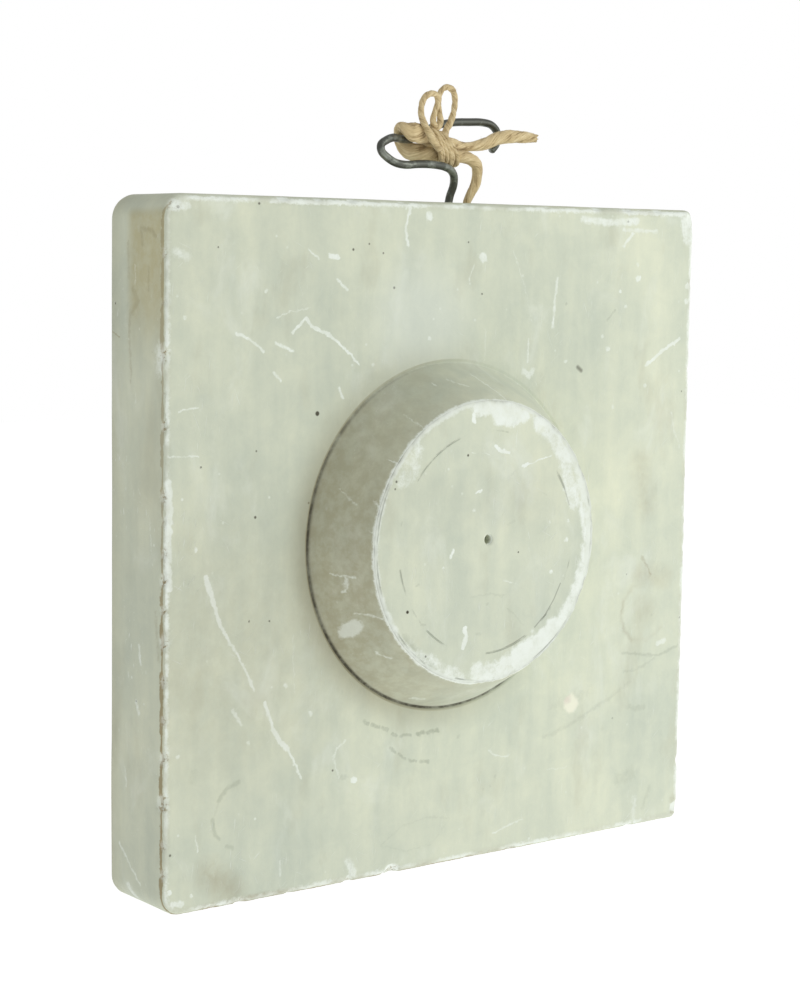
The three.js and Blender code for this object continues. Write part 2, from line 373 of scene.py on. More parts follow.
def makeWire():
    # a round section, slightly uneven from bending by hand, rounded over at its two cut ends
    path, run = smoothRoute(wireRoute, wireSizes["spacing"])
    half = wireSizes["thickness"] / 2
    fromEnd = np.minimum(run, run[-1] - run)
    nearEnd = np.clip(1 - fromEnd / wireSizes["endRound"], 0, 1)
    cut = np.sqrt(1 - nearEnd ** 2 / 2)
    around = np.linspace(0, 2 * np.pi, wireSizes["sides"], endpoint=False)
    radius = (half * cut)[:, None] * (1 + 0.012 * randomField(path, 7, 41))[:, None]
    bearing = np.broadcast_to(around, (len(run), len(around)))
    dents = 1 + 0.01 * randomField(layPlace(bearing, run, 1, 0.3), 0.6, 43)
    guide = np.broadcast_to(np.array([0.25, 1.0, 0.1]), path.shape)
    grid = sweep(path, guide, radius * dents, radius * dents, around)
    piece = closedMesh("wire_loop", grid, path[0], path[-1])
    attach(piece, "root")
    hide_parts("hanging_wire")
    return piece


wireLoop = makeWire()
print("wire made")


# plaster plaque
plaque = dict(
    side=250.0,
    depth=37.0,
    cornerRadii=(4.5, 9.0, 8.0, 3.8),  # top right, top left, bottom left, bottom right
    frontRound=1.8,
    backRound=3.4,
    bossX=0.4,
    bossZ=1.0,
    bossFoot=64.5,
    bossFace=52.4,
    bossHeight=22.4,
    rimRound=1.1,
    footBand=1.7,  # how far out the joint round the boss's foot reaches
    edgeBand=8.5,  # how far in from the outline the rings still follow it
    trueInset=2.2,  # the furthest true offset that every corner round can take
    holeX=0.6,
    holeZ=2.0,
    holeDepth=9,
    tilesAcross=4,
    columns=920,
)
# Places in the plaque's list of finishes: the front's tiles, the boss's face by quarters, its side and the
# rest.
finishPlace = dict(front=0, bossFace=16, bossSide=20, rest=21)
# Bites out of the front arris: place along the wall, height, radius and depth.
arrisBites = [
    (-125, 22, 3.2, 0.9), (-125, 14, 2.2, 0.8), (-125, 3, 2.6, 0.9), (-125, -6, 3.6, 1.0),
    (-125, -17, 3.0, 0.8),
    (-125, -28, 3.8, 0.9), (-125, -41, 3.2, 1.0), (-125, -55, 2.6, 0.9), (-125, -68, 3.4, 1.1),
    (-125, -84, 4.2, 1.3), (-125, -99, 2.6, 0.7), (-125, -109, 3.4, 0.9), (-125, 46, 2.8, 0.9),
    (-125, 57, 1.8, 0.6), (-125, 70, 4.0, 0.7), (-125, 88, 2.0, 0.6), (-125, 104, 3.0, 0.6),
    (-24.5, -125, 4.4, 1.6), (-44, -125, 3.2, 0.9), (-70, -125, 2.6, 0.7), (-92, -125, 3.4, 0.8),
    (-104, -125, 2.4, 0.8), (12, -125, 2.2, 0.6), (34, -125, 2.6, 0.7), (71, -125, 2.0, 0.5),
    (98, -125, 3.0, 0.8), (-76, 125, 3.4, 0.7), (-62, 125, 2.4, 0.6), (-47, 125, 3.0, 0.7),
    (-24, 125, 2.2, 0.5),
    (6, 125, 2.4, 0.6), (46, 125, 2.0, 0.5), (71, 125, 3.2, 0.7), (88, 125, 3.6, 0.8), (104, 125, 3.4, 0.7),
    (123, 121, 4.0, 0.9), (125, 96, 2.2, 0.6), (125, 61, 2.4, 0.5), (125, 30, 1.8, 0.5),
    (125, -12, 2.2, 0.5),
    (125, -60, 2.0, 0.6), (125, -101, 2.8, 0.7), (123, -120, 3.4, 0.9), (-121, 121, 4.0, 0.8),
]


def slabOutline(columns):
    # the slab's rounded square, walked anticlockwise from the middle of its right side at even lengths
    half = plaque["side"] / 2
    places, bearings = [np.array([[half, 0]])], [np.zeros(1)]
    for quarter, radius in enumerate(plaque["cornerRadii"]):
        sweepAngle = np.radians(np.linspace(90 * quarter, 90 * quarter + 90, 40))
        signs = np.array([(1, 1), (-1, 1), (-1, -1), (1, -1)][quarter])
        corner = np.stack([np.cos(sweepAngle), np.sin(sweepAngle)], 1)
        places.append(signs * (half - radius) + radius * corner)
        bearings.append(sweepAngle)
    places.append(np.array([[half, 0]]))
    bearings.append(np.array([2 * np.pi]))
    places, bearings = np.vstack(places), np.concatenate(bearings)
    run = np.append(0, np.cumsum(np.linalg.norm(np.diff(places, axis=0), axis=1)))
    even = np.linspace(0, run[-1], columns, endpoint=False)
    bearing = np.interp(even, run, bearings)
    place = np.stack([np.interp(even, run, places[:, k]) for k in range(2)], axis=1)
    return place, np.stack([np.cos(bearing), np.sin(bearing)], axis=1)


def insetOutline(place, outward, inset):
    # the outline moved in: a true offset at first, and a plain shrink towards the middle for the rest
    offset = np.minimum(inset, plaque["trueInset"])
    return (place - outward * offset) * (1 - (inset - offset) * 2 / plaque["side"])


def plaqueRings():
    # rings from the bottom of the centre hole out over the boss and the slab's front, round its edge and
    # across its back; each row is (kind, size, depth), where kind 0 is a hole ring, 1 a ring round the boss,
    # 2 a ring part of the way from the boss's foot to the edge, 3 a ring inside the slab's outline and 4 a
    # ring on the back, part of the way out from its middle
    face = -plaque["depth"] - plaque["bossHeight"]
    front = -plaque["depth"]
    hole = ((0.6, plaque["holeDepth"]), (1.2, plaque["holeDepth"]), (1.3, 6), (1.5, 2.5), (1.7, 0.9),
            (1.85, 0.3), (2.2, 0.05), (2.8, 0))
    rings = [(0, radius, face + deep) for radius, deep in hole]
    rings += [(1, r, face) for r in (5, 9, 14, 19, 24, 29, 33, 37, 40, 43, 45.5, 47.5, 49, 50.2, 51)]
    slope = math.atan2(plaque["bossFoot"] - plaque["bossFace"], plaque["bossHeight"])
    rim = plaque["rimRound"]
    tangent = rim * math.tan((math.pi / 2 - slope) / 2)
    for part in np.linspace(0, math.pi / 2 - slope, 7):
        radius = plaque["bossFace"] - tangent + rim * math.sin(part)
        rings.append((1, radius, face + rim * (1 - math.cos(part))))
    top = rings[-1]
    for part in (0.04, 0.1, 0.18, 0.27, 0.36, 0.46, 0.56, 0.66, 0.76, 0.85, 0.92, 0.965, 0.99):
        rings.append((1, top[1] + (plaque["bossFoot"] - top[1]) * part, top[2] + (front - top[2]) * part))
    foot = plaque["bossFoot"]
    rings += [(1, foot + 0.1, front + 0.45), (1, foot + 0.45, front + 0.7), (1, foot + 0.85, front + 0.55),
              (1, foot + 1.2, front + 0.1), (1, foot + plaque["footBand"], front)]
    rings += [(2, part, front) for part in (0.025, 0.06, 0.11, 0.18, 0.26, 0.34, 0.42, 0.5, 0.58, 0.66, 0.73,
                                            0.79, 0.84)]
    edge = plaque["frontRound"]
    rings += [(3, inset, front) for inset in (8, 6, 4.6, 3.6, 2.8, 2.2)]
    rings += [(3, edge * (1 - math.sin(a)), front + edge * (1 - math.cos(a)))
              for a in np.radians((0, 18, 36, 54, 72, 90))]
    rings += [(3, 0, front + back) for back in (2.4, 3.2, 4.4, 6, 9, 13, 18, 23, 28, 31.5)]
    edge = plaque["backRound"]
    rings += [(3, edge * (1 - math.sin(a)), -edge * (1 - math.cos(a))) for a in np.radians((90, 60, 30, 0))]
    rings += [(4, part, 0) for part in (0.9, 0.6, 0.25)]
    return np.array(rings)


def makePlaque():
    # the rings laid out round their centres or inside the outline, each point then worn in along its normal
    place, outward = slabOutline(plaque["columns"])
    rings = plaqueRings()
    kind, size, depth = rings.T
    angle = 2 * np.pi * np.arange(plaque["columns"]) / plaque["columns"]
    spokes = np.stack([np.cos(angle), np.sin(angle)], axis=1)
    bossCentre = np.array([plaque["bossX"], plaque["bossZ"]])
    holeCentre = np.array([plaque["holeX"], plaque["holeZ"]])
    centres = np.where((kind == 0)[:, None], holeCentre, bossCentre)
    flat = centres[:, None] + size[:, None, None] * spokes[None]
    footRing = bossCentre + (plaque["bossFoot"] + plaque["footBand"]) * spokes
    inner = insetOutline(place, outward, plaque["edgeBand"])
    blend = size[:, None, None]
    outer = blend / 0.87  # the rings stop just short of the band along the edge
    flat = np.where((kind == 2)[:, None, None], footRing * (1 - outer) + inner * outer, flat)
    flat = np.where((kind == 3)[:, None, None], insetOutline(place, outward, blend), flat)
    flat = np.where((kind == 4)[:, None, None], (place - outward * plaque["backRound"]) * blend, flat)
    height = np.broadcast_to(depth[:, None], flat.shape[:2])
    grid = np.stack([flat[..., 0], height, flat[..., 1]], axis=-1)
    alongRows = np.gradient(grid, axis=0)
    alongColumns = np.roll(grid, -1, axis=1) - np.roll(grid, 1, axis=1)
    normal = unit(np.cross(alongRows, alongColumns))

    radius = np.linalg.norm(flat - bossCentre, axis=-1)
    bearing = np.arctan2(flat[..., 1] - bossCentre[1], flat[..., 0] - bossCentre[0])
    front = -plaque["depth"]
    face = front - plaque["bossHeight"]
    # distance from the front arris: in along the front, and less than nothing down the edge
    farFromArris = 100.0
    inset = np.broadcast_to(size[:, None], height.shape)
    fromArris = np.where(height > front + 0.9, front - height, inset)
    fromArris = np.where((kind < 2)[:, None], farFromArris, fromArris)
    fromArris = np.where((kind == 2)[:, None], np.min(plaque["side"] / 2 - np.abs(flat), axis=-1), fromArris)

    # how far each point is worn in from the true shape, in mm
    soft = 0.16 * (1 + randomField(grid, 34, 51)) + 0.05 * (1 + randomField(grid, 9, 52))
    soft *= easeStep(1.9, 7, radius)
    nearArris = np.exp(-(np.abs(fromArris + 0.2) / 1.5) ** 2)
    arrisWear = 0.3 * np.clip(roughField(grid, 6, 53), 0, 1) + 0.22 * (1 + randomField(grid, 1.9, 56))
    wear = nearArris * (0.16 + arrisWear)
    bite = np.zeros(radius.shape)
    ragged = 1 + 0.35 * randomField(grid, 2.2, 57)
    for x, z, reach, deep in arrisBites:
        away = np.linalg.norm(grid - np.array([x, front, z]), axis=-1) * ragged
        bite = np.maximum(bite, deep * easeStep(0, 0.75, 1 - away / reach))
    nearRim = np.exp(-((radius - plaque["bossFace"]) / 1.5) ** 2) * (height < face + 3)
    rimWear = 0.45 * np.clip(roughField(grid, 5, 61), 0, 1) + 0.16 * (1 + randomField(grid, 1.7, 63))
    rimWear = nearRim * (0.1 + rimWear)
    worn = soft + wear + bite + rimWear
    # the joint at the boss's foot is deepest at the lower left and closes towards the upper right
    openness = 0.55 - 0.45 * np.cos(bearing - np.radians(40)) + 0.25 * roughField(grid, 12, 66)
    inJoint = np.exp(-((radius - plaque["bossFoot"] - 0.5) / 0.55) ** 2)
    inJoint = inJoint * (height > front - 0.4) * (kind == 1)[:, None]
    worn = worn - 0.45 * inJoint * np.clip(1 - openness, 0, 1)
    grid = grid - normal * worn[..., None]
    chipped = np.clip(bite * 1.6 + np.clip(wear - 0.45, 0, 1) + np.clip(rimWear - 0.4, 0, 1), 0, 1)

    holeEnd = (plaque["holeX"], face + plaque["holeDepth"], plaque["holeZ"])
    piece = closedMesh("plaque_casting", grid, holeEnd, (0, -0.3, 0),
                       {"chipped": chipped, "fromArris": fromArris})
    print("plaque triangles", 2 * grid.shape[0] * grid.shape[1])
    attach(piece, "root")
    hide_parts("plaque")
    # a finish for each face, by its ring and then by its tile or quarter
    region = np.full(len(rings) - 1, finishPlace["rest"])
    middle = (depth[1:] + depth[:-1]) / 2
    region[kind[1:] < 2] = finishPlace["bossSide"]
    region[(kind[1:] < 2) & (middle < face + 0.2)] = finishPlace["bossFace"]
    region[(kind[1:] == 2) | ((kind[1:] == 3) & (middle < front + 0.6))] = finishPlace["front"]
    region = np.repeat(region[:, None], plaque["columns"], axis=1)
    centre = (grid[1:] + grid[:-1]) / 2
    across = plaque["tilesAcross"]
    tile = np.clip((centre + plaque["side"] / 2) // (plaque["side"] / across), 0, across - 1).astype(int)
    quarter = (centre[..., 0] > 0) + 2 * (centre[..., 2] > 0)
    finish = region + np.where(region == finishPlace["front"], tile[..., 0] + across * tile[..., 2], 0)
    finish = finish + np.where(region == finishPlace["bossFace"], quarter, 0)
    holeFan = np.full(plaque["columns"], finishPlace["bossFace"])
    backFan = np.full(plaque["columns"], finishPlace["rest"])
    piece.data.polygons.foreach_set("material_index", np.concatenate([finish.ravel(), holeFan, backFan]))
    return piece


plaquePiece = makePlaque()
print("plaque made")


# shader maths
class Flow:
    # one socket's value; sums and products of it add the Math nodes that they need
    def __init__(self, tree, socket):
        self.tree = tree
        self.socket = socket

    def node(self, kind, settings, inputs, output=0):
        # any node: its settings first, then its sockets by number or name
        made = self.tree.nodes.new(kind)
        for name, value in settings.items():
            setattr(made, name, value)
        for name, value in inputs.items():
            if isinstance(value, Flow):
                self.tree.links.new(value.socket, made.inputs[name])
            else:
                made.inputs[name].default_value = value
        return Flow(self.tree, made.outputs[output]) if len(made.outputs) else None

    def math(self, operation, *others, clamp=False):
        values = dict(enumerate((self, *others)))
        return self.node("ShaderNodeMath", {"operation": operation, "use_clamp": clamp}, values)

    def __add__(self, other):
        return self.math("ADD", other)

    def __sub__(self, other):
        return self.math("SUBTRACT", other)

    def __rsub__(self, other):
        return self.node("ShaderNodeMath", {"operation": "SUBTRACT"}, {0: other, 1: self})

    def __mul__(self, other):
        return self.math("MULTIPLY", other)

    __radd__ = __add__
    __rmul__ = __mul__

    def held(self):
        # the value, held between 0 and 1
        return self.math("ADD", 0, clamp=True)

    def vector(self, operation, *others, output=0, scale=None):
        values = dict(enumerate((self, *others)))
        if scale is not None:
            values["Scale"] = scale
        return self.node("ShaderNodeVectorMath", {"operation": operation}, values, output)

    def part(self, axis):
        return self.node("ShaderNodeSeparateXYZ", {}, {0: self}, axis)

    def noise(self, size, detail=2.0, roughness=0.5, stretch=None, warp=0.0):
        # a noise of this grain size in mm, drawn out along each axis by stretch
        place = self if stretch is None else self.vector("MULTIPLY", tuple(1 / s for s in stretch))
        return self.node("ShaderNodeTexNoise", {}, {"Vector": place, "Scale": 1 / size, "Detail": detail,
                                                    "Roughness": roughness, "Distortion": warp}, "Fac")

    def fade(self, low, high):
        # 0 at low, 1 at high, smooth between; low may be the larger
        return self.node("ShaderNodeMapRange", {"interpolation_type": "SMOOTHSTEP"},
                         {"Value": self, "From Min": low, "From Max": high}, "Result")

    def mix(self, first, second):
        # this value picks between two colours
        return self.node("ShaderNodeMix", {"data_type": "RGBA"}, {0: self, 6: first, 7: second}, 2)

    def bump(self, strength):
        # this value as a height in mm, made a normal
        return self.node("ShaderNodeBump", {}, {"Height": self, "Strength": strength, "Distance": 0.001})


def newMaterial(name):
    material = bpy.data.materials.new(name)
    material.use_nodes = True
    tree = material.node_tree
    tree.nodes.clear()
    return material, tree


def ownPlace(tree):
    # the object's own coordinates, in mm
    here = Flow(tree, tree.nodes.new("ShaderNodeTexCoord").outputs["Object"])
    return here.vector("SCALE", scale=1000.0)


def ownValue(tree, label, output="Fac"):
    return Flow(tree, None).node("ShaderNodeAttribute", {"attribute_name": label}, {}, output)


def finishMaterial(tree, settings):
    shader = Flow(tree, None).node("ShaderNodeBsdfPrincipled", {}, settings)
    shader.node("ShaderNodeOutputMaterial", {}, {"Surface": shader})


def rgb(red, green, blue):
    return (red, green, blue, 1.0)


# plaster marks
# Each mark is (half width, strength, feather, places); its places are joined by straight runs, in mm.
whiteMarks = [
    (0.55, 0.95, 0.5, [(-72, 77.5), (-66.2, 82.5), (-63.9, 79.8), (-60.3, 78), (-56.2, 76.4),
                       (-51.6, 73.5)]),
    (0.45, 0.85, 0.5, [(-51.6, 73.5), (-47, 69.8), (-43, 66)]),
    (0.5, 0.8, 0.5, [(-95.5, 77.5), (-92, 76.2), (-87.5, 73.6), (-84, 70.7)]),
    (0.3, 0.45, 0.5, [(-79, 82.5), (-74.4, 84.5), (-64.4, 86)]),
    (1.0, 0.95, 0.7, [(-107.3, -6.8), (-106.2, -10.9), (-104.2, -15.9)]),
    (0.7, 0.9, 0.6, [(-104.2, -15.9), (-101.6, -23.6), (-98.9, -28.2)]),
    (0.5, 0.8, 0.6, [(-98.9, -28.2), (-94.4, -34.5), (-90.7, -40.9), (-87.1, -48.2)]),
    (0.6, 0.85, 0.6, [(-82.5, -53.2), (-80.7, -58.2), (-78.5, -63.6)]),
    (1.0, 0.95, 0.7, [(-78.5, -63.6), (-75.7, -68.2), (-72.5, -70.9)]),
    (0.5, 0.8, 0.6, [(-72.5, -70.9), (-69.4, -76.8), (-66.4, -82.7)]),
    (0.6, 0.8, 0.7, [(-20.3, 122.4), (-22.5, 115), (-21.2, 108.5)]),
    (0.3, 0.6, 0.5, [(-123, 35.9), (-110.9, 35.5)]),
    (0.35, 0.6, 0.5, [(-118.6, 51.2), (-110.9, 52.5)]),
    (0.7, 0.95, 0.6, [(100, 63), (106.4, 67.3), (118.2, 73.2)]),
    (0.6, 0.7, 0.8, [(51.8, 97.5), (50.5, 87), (49.8, 78.5)]),
    (0.4, 0.6, 0.6, [(37.7, 74.4), (37.3, 65.3)]),
    (1.2, 0.6, 0.9, [(35.4, 61.8), (38.2, 60.2), (40, 62)]),
    (0.3, 0.35, 0.5, [(16, 78), (16, 66)]),
    (0.25, 0.35, 0.5, [(29, 107.5), (35, 94.4), (39, 80.7)]),
    (0.3, 0.45, 0.5, [(10, 101.6), (7.7, 96.2)]),
    (0.35, 0.6, 0.6, [(24, -116.8), (31.8, -114.7), (39.3, -113.2)]),
    (0.4, 0.55, 0.6, [(21.8, -83.6), (25.5, -86.4), (31.4, -86.8)]),
    (0.25, 0.35, 0.5, [(51.8, -95), (62.7, -95.3)]),
    (0.4, 0.6, 0.5, [(-65.3, 106.6), (-61.2, 103.2)]),
    (0.4, 0.5, 0.5, [(-111.2, -97.3), (-110.3, -102.7)]),
    (0.4, 0.5, 0.5, [(-75.3, -111.8), (-75.3, -117.3)]),
    (0.3, 0.35, 0.6, [(-70.7, -30), (-69.8, -51)]),
    (0.5, 0.45, 0.6, [(-47, -71.4), (-50.7, -73.6), (-52.4, -77.3), (-49.8, -84.5)]),
    (0.5, 0.4, 0.7, [(115, 43.5), (116.4, 37), (120, 29.4)]),
    (1.6, 0.85, 1.0, [(-11.6, 119.4)]), (2.0, 0.8, 0.9, [(14.4, 104.6)]),
    (1.5, 0.95, 0.6, [(-42.8, -86.4)]), (1.3, 0.8, 0.7, [(94.5, 97.5)]), (0.8, 0.6, 0.6, [(94, 103)]),
    (0.8, 0.7, 0.6, [(85, 92.3)]), (0.7, 0.6, 0.6, [(88, 86.4)]), (1.1, 0.7, 0.7, [(79, 69.8)]),
    (0.7, 0.6, 0.6, [(76, 74.8)]), (0.8, 0.6, 0.6, [(56.8, 65.3)]), (0.9, 0.6, 0.7, [(99.5, 54.8)]),
    (0.8, 0.6, 0.6, [(82.3, 47)]), (1.3, 0.8, 0.7, [(121.8, 94.4)]), (1.3, 0.7, 0.7, [(121.4, 88.5)]),
    (0.8, 0.8, 0.6, [(-56, 104.4), (-52.6, 104)]), (0.6, 0.75, 0.6, [(-52.5, 95.7), (-48.5, 92.5)]),
    (0.8, 0.6, 0.6, [(-83.3, 92)]), (0.9, 0.6, 0.7, [(-116.5, 83)]), (0.9, 0.6, 0.6, [(-36.5, 65.5)]),
    (0.8, 0.7, 0.6, [(-10.7, 74.8)]), (0.6, 0.75, 0.7, [(-79, 74), (-75.6, 72.6), (-72, 71)]),
    (0.5, 0.7, 0.6, [(-80, 63.5), (-77, 61)]), (0.6, 0.7, 0.6, [(-51.8, 57.5), (-49.8, 54)]),
    (0.9, 0.7, 0.6, [(-111.6, 3.5)]), (0.9, 0.7, 0.6, [(-62.7, -59.5)]), (0.9, 0.7, 0.7, [(-73.6, -48)]),
    (0.8, 0.6, 0.6, [(-89.4, -66.8)]), (0.6, 0.7, 0.6, [(-96, -54.5), (-92.5, -60)]),
    (0.9, 0.6, 0.7, [(-118.5, -68)]), (1.1, 0.75, 0.8, [(110.8, -50.2), (113.8, -49.4)]),
    (1.3, 0.9, 0.9, [(-122.6, 27), (-122.2, 15), (-122.8, 4), (-122.4, -9)]),
    (1.4, 0.6, 1.2, [(-120, 120.2), (-115.5, 120.6)]), (1.6, 0.55, 1.6, [(-120, 105), (-116, 103.6)]),
    (0.8, 0.9, 0.8, [(-81, 123.2), (-62, 123), (-41, 123.4)]),
    (1.4, 0.7, 1.4, [(64, 120), (78, 119), (93, 119.8)]),
    (0.7, 0.9, 0.7, [(84, 123.3), (117, 123)]), (0.7, 0.6, 0.8, [(86, 116.4), (104, 116)]),
    (0.7, 0.7, 0.7, [(91, 115), (86, 110)]), (2.6, 0.7, 2.0, [(119.5, 120), (121, 113.5)]),
    (1.6, 0.9, 0.8, [(-26.6, -122.6), (-23, -123)]), (1.8, 0.55, 1.4, [(-45, -117), (-42.5, -121)]),
    (1.0, 0.85, 0.6, [(-121.8, -115.6)]), (1.2, 0.8, 0.8, [(-120, -120.3), (-117, -120.6)]),
    (0.8, 0.7, 0.6, [(-113, -118.2)]), (1.2, 0.45, 1.6, [(99.5, -113), (100, -122)]),
    (0.9, 0.85, 0.8, [(124, 104), (123.8, 70)]), (0.7, 0.6, 0.8, [(124, 62), (124, 10)]),
    (0.6, 0.5, 0.8, [(124, -6), (124, -88)]),
]
greyMarks = [
    (0.9, 0.75, 1.0, [(-93.5, -80.5), (-98.4, -82), (-101.6, -85.9)]),
    (0.8, 0.8, 0.9, [(-104.2, -92.5), (-103.8, -96.4), (-101.6, -99.5)]),
    (0.7, 0.6, 0.8, [(-95.5, -104), (-98.6, -102.6)]), (0.5, 0.35, 1.0, [(-101.6, -85.9), (-104.2, -92.5)]),
    (1.6, 0.35, 1.8, [(-112.5, -74.5), (-112.5, -77.5)]), (1.0, 0.5, 1.0, [(-48.6, -84.6), (-46.4, -85)]),
    (1.1, 0.5, 1.0, [(6.4, -76.2)]), (0.9, 0.45, 0.9, [(25.3, -94.1)]), (0.7, 0.4, 0.8, [(19.5, -98.5)]),
    (0.7, 0.4, 0.8, [(22.7, -97.7)]), (0.7, 0.7, 0.5, [(56.4, 87.5)]),
    (0.4, 0.6, 0.5, [(78.2, 81.2), (82.3, 84.8)]),
    (0.9, 0.4, 1.4, [(49.5, -81.8), (58.2, -80), (67.3, -77.3)]),
    (0.9, 0.4, 1.4, [(67.3, -77.3), (77.3, -72.7), (83.6, -70.5), (95.5, -64.5)]),
    (2.6, 0.3, 4.0, [(54, -70), (72.7, -66)]),
    (0.6, 0.6, 0.8, [(91, -52.7), (96.4, -53.2), (104.5, -54.5)]),
    (0.6, 0.6, 0.8, [(104.5, -54.5), (111.8, -55.3), (117.3, -53.6), (121.8, -52.3)]),
    (0.5, 0.45, 0.8, [(91.8, -60), (98.2, -60), (103.6, -58.6), (109, -56.4)]),
    (1.2, 0.45, 1.2, [(95.5, -74.5), (98.2, -76), (103.6, -76)]),
    (3.0, 0.4, 3.0, [(91, -104.4), (97.6, -102.6)]), (1.0, 0.4, 1.6, [(108, -109.6), (104.6, -118)]),
    (1.0, 0.3, 1.2, [(81, -82)]), (0.6, 0.55, 1.0, [(106.4, -38.2)]),
    (0.35, 0.35, 0.7, [(-30, -113), (-20, -107), (-8, -105.4), (3, -107.4)]),
    (0.35, 0.3, 0.7, [(-30, -113), (-18, -117), (-6, -116), (3, -107.4)]),
]
pinHoles = [
    (0.85, 0.95, 0.4, [(-61, 48.7)]), (0.75, 0.62, 0.9, [(63.2, 62.9), (65, 61.6)]),
    (0.5, 0.9, 0.35, [(-119, 120)]),
    (0.45, 0.85, 0.35, [(-86.5, 122)]), (0.45, 0.85, 0.35, [(-46, 106.8)]),
    (0.35, 0.75, 0.35, [(-32.5, 105.7)]),
    (0.35, 0.75, 0.35, [(-38.9, 108.9)]), (0.45, 0.85, 0.35, [(-27.4, 93.3)]),
    (0.5, 0.9, 0.35, [(-87.3, 13.2)]),
    (0.35, 0.75, 0.35, [(-87, 36.4)]), (0.35, 0.8, 0.35, [(-64.4, 17)]),
    (0.45, 0.8, 0.35, [(-121.6, -102.5)]),
    (0.4, 0.8, 0.35, [(-52.5, -81.6)]), (0.6, 0.7, 0.4, [(-32.5, -55)]),
]
brownStains = [
    (4.5, 0.34, 8.0, [(-105, -112), (-96, -119)]), (2.0, 0.4, 3.0, [(122.7, -116.4), (122.7, -121)]),
    (4.0, 0.22, 8.0, [(98, 24), (102, 6)]), (3.5, 0.26, 6.0, [(100, -21), (113, -23)]),
    (0.6, 0.5, 1.0, [(100.5, -14.5), (105.5, -21.4)]),
    (0.7, 0.26, 1.4, [(91, -31), (89.6, -37), (91.5, -43), (96, -47.6)]),
    (0.7, 0.16, 1.6, [(91, -31), (96, -25.8), (104, -24.6)]),
    (0.7, 0.12, 1.8, [(96, -47.6), (104, -48.6), (112, -44)]),
    (5.0, 0.16, 7.0, [(103, -36)]), (0.7, 0.6, 1.2, [(-110, -123.4), (-88, -123), (-64, -123.6)]),
    (0.6, 0.4, 1.2, [(-60, -123.8), (-10, -123.8), (36, -124)]),
]
# A worn inked stamp, kept as rows of strokes that aren't letters.
stampRows = [
    (0.75, 0.5, 0.7, [(-38.5, -65), (-36.6, -66.2)]), (0.75, 0.55, 0.7, [(-34.8, -66.8), (-31.6, -68)]),
    (0.75, 0.5, 0.7, [(-29.8, -68.6), (-27.6, -69.4)]), (0.75, 0.5, 0.7, [(-25.4, -71.2), (-23.4, -72.2)]),
    (0.75, 0.5, 0.7, [(-21.4, -72.6), (-16.8, -72.8)]), (0.85, 0.6, 0.8, [(-13.4, -72.8), (-10.4, -72.6)]),
    (0.85, 0.6, 0.8, [(-8.6, -72.8), (-3.6, -72.6)]), (0.65, 0.5, 0.7, [(-26.2, -76.4), (-23.6, -78.6)]),
    (0.65, 0.55, 0.7, [(-22, -79.6), (-19, -81.6)]), (0.65, 0.5, 0.7, [(-17, -82.4), (-13.6, -83.2)]),
    (0.65, 0.5, 0.7, [(-11.6, -83.6), (-8, -84.1)]),
]
bossWhite = [
    (0.7, 0.95, 0.5, [(3.3, 36.3), (5.4, 34.3), (9.4, 33.7)]),
    (1.0, 0.9, 0.8, [(-10, -30), (-9.4, -33), (-10.4, -36.7)]),
    (0.8, 0.9, 0.6, [(-7.7, 48), (-7.4, 45.6)]), (0.3, 0.6, 0.5, [(17, 28), (24, 30), (30.8, 31.7)]),
    (0.6, 0.6, 0.6, [(16.6, 28.4), (19, 29)]), (0.45, 0.7, 0.5, [(-5.8, 19.2), (-2.9, 20.2)]),
    (1.2, 0.6, 0.9, [(38.8, -0.6)]), (1.1, 0.55, 0.9, [(31.3, -12.3)]),
    (0.7, 0.6, 0.7, [(-16, -0.8), (-17, -3.6)]),
    (0.6, 0.5, 0.6, [(-20.6, -7)]), (0.8, 0.4, 0.8, [(30.4, 6.4)]), (0.6, 0.5, 0.6, [(39.6, 6.6)]),
    (0.7, 0.35, 0.9, [(11, 12)]), (0.7, 0.35, 0.9, [(-6.4, 13)]),
    (0.25, 0.4, 0.5, [(19, 6), (20.4, 2), (20.6, -4)]),
    (0.25, 0.4, 0.5, [(-8, 34.6), (-3, 34), (1.4, 33)]), (0.25, 0.4, 0.6, [(8, -13.6), (15.4, -16)]),
    (3.2, 0.9, 2.6, [(-5, 51), (1, 50.4)]), (4.6, 0.9, 2.8, [(5, 48.6), (12, 47.6)]),
    (2.4, 0.85, 2.0, [(12, 48), (17, 46.6)]),
    (4.2, 0.42, 3.4, [(-34, 36), (-36, 30), (-38, 26)]), (3.4, 0.6, 3.0, [(37, 31), (40, 20), (42.6, 14)]),
    (3.4, 0.7, 2.6, [(24, 44), (33, 37), (37, 31)]), (2.6, 0.7, 2.6, [(47, -12), (43, -23), (37, -31)]),
    (5.4, 0.8, 3.0, [(34, -35), (26, -40.5), (17, -44)]),
    (4.0, 0.7, 3.0, [(17, -44), (6, -47.4), (-4, -47.4)]),
    (2.0, 0.35, 2.4, [(24, -34), (28, -37)]), (1.5, 0.6, 2.4, [(46, 13), (48.4, 1), (47.6, -10)]),
    (2.8, 0.5, 3.0, [(-14, -46), (-24, -42), (-30, -38)]),
]
